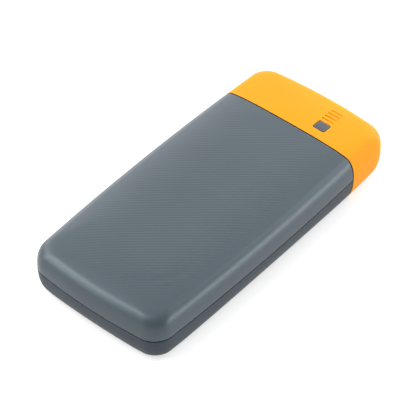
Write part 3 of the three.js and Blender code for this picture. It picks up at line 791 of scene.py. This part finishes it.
def usb_c(x):
    """A USB-C socket: its shell, and its tongue with twelve contacts on each side."""
    socket = mesh_object("usb_c_socket", *tube(x, USB_C))
    size = (6.69, 0.7)
    parts = [(0, tongue_body(x, USB_C, size, 0.7, 2, 0))]
    for side in (1, -1):
        for k in range(12):
            skin_z = PORT_Z + side * (size[1] / 2 + 0.005)
            longer = 0.35 if k in (0, 3, 8, 11) else 0
            path = [(PORT_FACE_Y - 1.6 + longer, skin_z), (PORT_FACE_Y - 2.6, skin_z),
                    (PORT_FACE_Y - 4.6, skin_z), (PORT_FACE_Y - 5.2, skin_z)]
            parts.append((1, strip(x + (k - 5.5) * 0.5, path, 0.26, 0.05)))
    points, faces, numbers = merged(parts)
    return socket, mesh_object("usb_c_insert", points, faces), numbers


# ---------------------------------------------------------------- materials

def srgb(text):
    """A hex colour as linear RGBA."""
    values = [int(text[i:i + 2], 16) / 255 for i in (1, 3, 5)]
    return tuple(v / 12.92 if v <= 0.04045 else ((v + 0.055) / 1.055) ** 2.4
                 for v in values) + (1.0,)


class Nodes:
    """A short way to write a material's node tree."""

    def __init__(self, name):
        self.material = bpy.data.materials.new(name)
        self.material.use_nodes = True
        self.tree = self.material.node_tree
        self.tree.nodes.clear()
        self.shader = self.tree.nodes.new("ShaderNodeBsdfPrincipled")
        output = self.tree.nodes.new("ShaderNodeOutputMaterial")
        self.link(self.shader.outputs["BSDF"], output.inputs["Surface"])
        self.place = self.tree.nodes.new("ShaderNodeTexCoord").outputs["Object"]

    def link(self, source, target):
        self.tree.links.new(source, target)

    def node(self, kind, values=None, **settings):
        made = self.tree.nodes.new(kind)
        for key, value in settings.items():
            setattr(made, key, value)
        for key, value in (values or {}).items():
            if isinstance(value, bpy.types.NodeSocket):
                self.link(value, made.inputs[key])
            else:
                made.inputs[key].default_value = value
        return made

    def noise(self, size_mm, detail=2.0, roughness=0.5, stretch=None):
        """Noise with features about size_mm across."""
        place = self.place
        if stretch:
            place = self.node("ShaderNodeVectorMath", {0: place, 1: stretch},
                              operation="MULTIPLY").outputs[0]
        values = {"Vector": place, "Scale": 1 / (size_mm * MM), "Detail": detail,
                  "Roughness": roughness}
        return self.node("ShaderNodeTexNoise", values).outputs["Fac"]

    def remap(self, value, low, high, to_low, to_high):
        values = {"Value": value, "From Min": low, "From Max": high, "To Min": to_low,
                  "To Max": to_high}
        return self.node("ShaderNodeMapRange", values).outputs["Result"]

    def math(self, operation, a, b):
        return self.node("ShaderNodeMath", {0: a, 1: b}, operation=operation).outputs[0]

    def mix(self, factor, a, b):
        made = self.node("ShaderNodeMix", data_type="RGBA")
        for socket, value in ((made.inputs[0], factor), (made.inputs[6], a), (made.inputs[7], b)):
            if isinstance(value, bpy.types.NodeSocket):
                self.link(value, socket)
            else:
                socket.default_value = value
        return made.outputs[2]

    def bump(self, height, strength, distance_mm, normal=None):
        values = {"Height": height, "Strength": strength, "Distance": distance_mm * MM}
        if normal is not None:
            values["Normal"] = normal
        return self.node("ShaderNodeBump", values).outputs["Normal"]

    def set(self, **values):
        for key, value in values.items():
            socket = self.shader.inputs[key.replace("_", " ")]
            if isinstance(value, bpy.types.NodeSocket):
                self.link(value, socket)
            else:
                socket.default_value = value


def shade(colour, factor):
    """A linear colour made lighter or darker."""
    return tuple(min(1.0, c * factor) for c in colour[:3]) + (1.0,)


def moulded(name, hex_colour, roughness, grain_mm=0.16, grain=0.12, variation=0.05, wear=0.25,
            specular=0.5, gloss="#ffffff"):
    """Moulded plastic: spark-eroded grain, faint flow marks, edges rubbed smooth and pale, and
    painted shade, dark, on the walls inside the gaps.
    """
    n = Nodes(name)
    colour = srgb(hex_colour)
    patches = n.noise(22, 3)
    tint = n.mix(n.remap(patches, 0.3, 0.7, 0, 1), shade(colour, 1 - variation),
                 shade(colour, 1 + variation))
    fine = n.noise(grain_mm, 3, 0.6)
    tint = n.mix(n.remap(fine, 0.25, 0.75, 0, 0.2), tint, shade(colour, 1 - 2.2 * variation))
    rim = n.node("ShaderNodeAttribute", attribute_name="rim").outputs["Fac"]
    # painted shade: where the rim attribute falls below zero, on the walls inside the gaps, the
    # colour is darkened to a fifth and the surface made rougher
    inside = n.remap(rim, 0.2, -0.8, 0, 1)
    tint = n.mix(inside, tint, shade(colour, 0.2))
    scuffs = n.remap(n.noise(2.4, 4, 0.65), 0.42, 0.72, 0, 1)
    rim_marks = n.math("MULTIPLY", n.math("MAXIMUM", rim, 0.0), n.math("MULTIPLY", scuffs, wear))
    tint = n.mix(rim_marks, tint, shade(colour, 1.9))
    rough = n.remap(n.noise(1.1, 3), 0.3, 0.7, roughness - 0.04, roughness + 0.05)
    rough = n.math("SUBTRACT", rough, n.math("MULTIPLY", rim_marks, 0.3))
    rough = n.math("ADD", rough, n.math("MULTIPLY", inside, 0.4))
    flow = n.bump(n.noise(9, 2), 0.12, 0.05)
    normal = n.bump(fine, grain, 0.02, flow)
    n.set(Base_Color=tint, Roughness=rough, Normal=normal, Specular_IOR_Level=specular,
          Specular_Tint=srgb(gloss))
    return n.material


def metal(name, hex_colour, roughness, brushed=None, variation=0.12):
    """Bare or plated metal, with drawn lines where brushed gives their stretch."""
    n = Nodes(name)
    colour = srgb(hex_colour)
    lines = n.noise(0.25, 3, 0.6, brushed or (1, 1, 1))
    tint = n.mix(n.remap(n.noise(3, 3), 0.3, 0.7, 0, 1), shade(colour, 1 - variation), colour)
    rough = n.remap(lines, 0.3, 0.7, roughness - 0.08, roughness + 0.1)
    normal = n.bump(lines, 0.15, 0.01)
    n.set(Base_Color=tint, Roughness=rough, Normal=normal, Metallic=1.0)
    return n.material


def board_laminate():
    """Solder mask over laminate: green, with faint darker tracks and a satin gloss."""
    n = Nodes("board_laminate")
    colour = srgb("#1f5a3c")
    tracks = n.node("ShaderNodeTexVoronoi", {"Vector": n.place, "Scale": 420.0},
                    distance="MANHATTAN").outputs["Distance"]
    line = n.remap(tracks, 0.28, 0.36, 1, 0)
    tint = n.mix(line, shade(colour, 1.25), shade(colour, 0.8))
    rough = n.remap(n.noise(2), 0.3, 0.7, 0.32, 0.45)
    n.set(Base_Color=tint, Roughness=rough, Normal=n.bump(line, 0.3, 0.03), Coat_Weight=0.3)
    return n.material


def foam(name, hex_colour):
    """Open-cell foam: painted shade in the dark pits and painted light on the paler walls between
    them.
    """
    n = Nodes(name)
    colour = srgb(hex_colour)
    cells = n.node("ShaderNodeTexVoronoi", {"Vector": n.place, "Scale": 1 / (0.35 * MM)})
    depth = cells.outputs["Distance"]
    tint = n.mix(n.remap(depth, 0, 0.6, 0, 1), shade(colour, 1.3), shade(colour, 0.55))
    rough = n.remap(depth, 0, 0.7, 0.88, 1.0)
    n.set(Base_Color=tint, Roughness=rough, Normal=n.bump(depth, 0.7, 0.12))
    return n.material


def clear_amber():
    """The light guide's tinted clear plastic, over the same orange as the cap."""
    n = Nodes("amber_guide")
    colour = srgb("#e07e08")
    tint = n.mix(n.remap(n.noise(1.5, 3), 0.3, 0.7, 0, 1), shade(colour, 0.9), shade(colour, 1.1))
    rough = n.remap(n.noise(0.5, 3), 0.3, 0.7, 0.28, 0.4)
    n.set(Base_Color=tint, Roughness=rough, Normal=n.bump(n.noise(0.3), 0.1, 0.01),
          Specular_IOR_Level=0.15, Coat_Weight=0.08, Coat_Roughness=0.1)
    return n.material


MATERIALS = {
    "slate_shell": moulded("slate_shell", "#2c363d", 0.285, wear=0.12, specular=0.66,
                           gloss="#e8f6ff"),
    "dark_shell": moulded("dark_shell", "#283138", 0.42, wear=0.12, specular=0.32,
                          gloss="#e8f6ff"),
    "orange_cap": moulded("orange_cap", "#d88a04", 0.45, wear=0.05, variation=0.02,
                          specular=0.11),
    "button_grey": moulded("button_grey", "#3a3d43", 0.35, wear=0.2, specular=0.35),
    "amber_guide": clear_amber(),
    "black_plastic": moulded("black_plastic", "#1d1e20", 0.6),
    "contact_plastic": moulded("contact_plastic", "#e9e6dd", 0.45, variation=0.02),
    "port_steel": metal("port_steel", "#c3c6ca", 0.3, (1, 0.12, 1)),
    "switch_steel": metal("switch_steel", "#b7babd", 0.35, (1, 0.2, 1)),
    "board_laminate": board_laminate(),
    "chip_epoxy": moulded("chip_epoxy", "#26272a", 0.55, grain_mm=0.08),
    "fuse_ceramic": moulded("fuse_ceramic", "#d9d3c4", 0.55, grain_mm=0.1),
    "ferrite": moulded("ferrite", "#4a4c50", 0.7, grain_mm=0.12, grain=0.5, variation=0.12),
    "can_aluminium": metal("can_aluminium", "#c9cbce", 0.35, (1, 1, 0.15)),
    "lamp_lens": moulded("lamp_lens", "#f3efd8", 0.35, grain=0.1, variation=0.03),
    "pouch_foil": metal("pouch_foil", "#b9bcc0", 0.34, variation=0.08),
    "nickel_strip": metal("nickel_strip", "#b8b3a6", 0.34, (0.2, 1, 1)),
    "red_silicone": moulded("red_silicone", "#b3221e", 0.6, grain=0.15),
    # near black, so that the seal in the joint shows as a dark line: painted shade for the shade in
    # the gap
    "black_silicone": moulded("black_silicone", "#0c0c0d", 0.6, wear=0.0, specular=0.12),
    "grey_foam": foam("grey_foam", "#4b4c4f"),
}
gold = metal("contact_gold", "#e3b04b", 0.25, (1, 0.15, 1))

slot_of = {row["node"]: row["material_slot"] for row in frame["record"]["subparts"]}


def finish_piece(piece, node, numbers=None):
    """Dresses a piece in its slot's material, puts it on its body, and hides its CAD node."""
    slot = slot_of[node]
    piece.data.materials.append(MATERIALS[slot])
    if numbers:
        piece.data.materials.append(gold)
        piece.data.polygons.foreach_set("material_index", numbers)
    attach(piece, "button" if node == "status_button" else "casing")
    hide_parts(node)


finish_piece(upper_shell, "upper_shell")
finish_piece(lower_shell, "lower_shell")
finish_piece(end_cap, "end_cap")
finish_piece(seal_ring, "joint_seal")
finish_piece(status_button, "status_button")
finish_piece(light_guide, "gauge_light_guide")
for number, x in enumerate(USB_A["x"], 1):
    socket, insert, numbers = usb_a(number, x)
    finish_piece(socket, f"usb_a_shell_{number}")
    finish_piece(insert, f"usb_a_tongue_{number}", numbers)
socket, insert, numbers = usb_c(USB_C["x"][0])
finish_piece(socket, "usb_c_shell")
finish_piece(insert, "usb_c_tongue", numbers)

for name, node in frame["nodes"].items():
    if not node.hide_render:
        if not node.data.materials:
            node.data.materials.append(None)
        for material_slot in node.material_slots:
            material_slot.material = MATERIALS[slot_of[name]]

# ---------------------------------------------------------------- floor, light and camera

FLOOR_REACH, FLOOR_DROP = 4.0, 0.0001       # metres
floor_mesh = bpy.data.meshes.new("floor")
floor_corners = [(x * FLOOR_REACH, y * FLOOR_REACH, 0)
                 for x, y in ((-1, -1), (1, -1), (1, 1), (-1, 1))]
floor_mesh.from_pydata(floor_corners, [], [(0, 1, 2, 3)])
floor = bpy.data.objects.new("floor", floor_mesh)
floor.location.z = -FLOOR_DROP
bpy.context.scene.collection.objects.link(floor)
floor_paint = Nodes("floor_paint")
floor_paint.set(Base_Color=(0.5, 0.5, 0.5, 1), Roughness=0.9, Specular_IOR_Level=0.2,
                Emission_Color=(1, 1, 1, 1), Emission_Strength=0.5)
floor_mesh.materials.append(floor_paint.material)

world = bpy.data.worlds.new("studio")
world.use_nodes = True
bpy.context.scene.world = world
tree = world.node_tree
background = tree.nodes["Background"]
direction = tree.nodes.new("ShaderNodeTexCoord").outputs["Generated"]


def sky_math(kind, operation, a, b):
    """A maths node in the world's tree, between two sockets or values."""
    made = tree.nodes.new(kind)
    made.operation = operation
    for socket, value in zip(made.inputs, (a, b)):
        if isinstance(value, bpy.types.NodeSocket):
            tree.links.new(value, socket)
        else:
            socket.default_value = value
    return made.outputs["Value"]


# Each soft box is a row of equal lamps: the elevation and azimuth in degrees of its first lamp and
# of its last, how many there are, and their strength. X is at azimuth 0 and the cap is at 90.
SOFT_BOXES = [((4, 30), (4, 60), 2, 6.8),        # low, past the long side
              ((22, 75), (22, 105), 2, 5.5),     # behind the cap
              ((22, 225), (62, 205), 3, 4.8),    # past the other long side, from low to high
              ((4, 90), (4, 150), 2, 2.0),       # the rest is fill
              ((22, 135), (22, 165), 2, 2.0),
              ((42, 72), (42, 180), 2, 2.5)]
LAMP_FOCUS = 28.0
ROOM_LIGHT = 0.85
light = ROOM_LIGHT
for first, last, count, strength in SOFT_BOXES:
    for elevation, azimuth in np.radians(np.linspace(first, last, count)):
        toward = (math.cos(elevation) * math.cos(azimuth),
                  math.cos(elevation) * math.sin(azimuth), math.sin(elevation))
        facing = sky_math("ShaderNodeVectorMath", "DOT_PRODUCT", direction, toward)
        facing = sky_math("ShaderNodeMath", "MAXIMUM", facing, 0.0)
        lobe = sky_math("ShaderNodeMath", "POWER", facing, LAMP_FOCUS)
        lobe = sky_math("ShaderNodeMath", "MULTIPLY", lobe, strength)
        light = sky_math("ShaderNodeMath", "ADD", lobe, light)
background.inputs["Color"].default_value = (1, 1, 1, 1)
tree.links.new(light, background.inputs["Strength"])

# the camera's place and turn, from the fit to the photo's outline
AZIMUTH, ELEVATION, ROLL = math.radians(40.097), math.radians(45.185), math.radians(0.16)
CAMERA_AT = Vector((441.72, -528.57, 704.27)) * MM
right = Vector((math.cos(AZIMUTH), math.sin(AZIMUTH), 0))
back = Vector((math.sin(AZIMUTH) * math.cos(ELEVATION),
               -math.cos(AZIMUTH) * math.cos(ELEVATION), math.sin(ELEVATION)))
up = back.cross(right)
right, up = (right * math.cos(ROLL) + up * math.sin(ROLL),
             up * math.cos(ROLL) - right * math.sin(ROLL))
camera_data = bpy.data.cameras.new("camera")
camera_data.sensor_width = 36
camera_data.lens = 185.9
camera = bpy.data.objects.new("camera", camera_data)
bpy.context.scene.collection.objects.link(camera)
turn = Matrix((right, up, back)).transposed()
camera.matrix_world = Matrix.Translation(CAMERA_AT) @ turn.to_4x4()
bpy.context.scene.camera = camera
bpy.context.scene.view_settings.view_transform = "Standard"
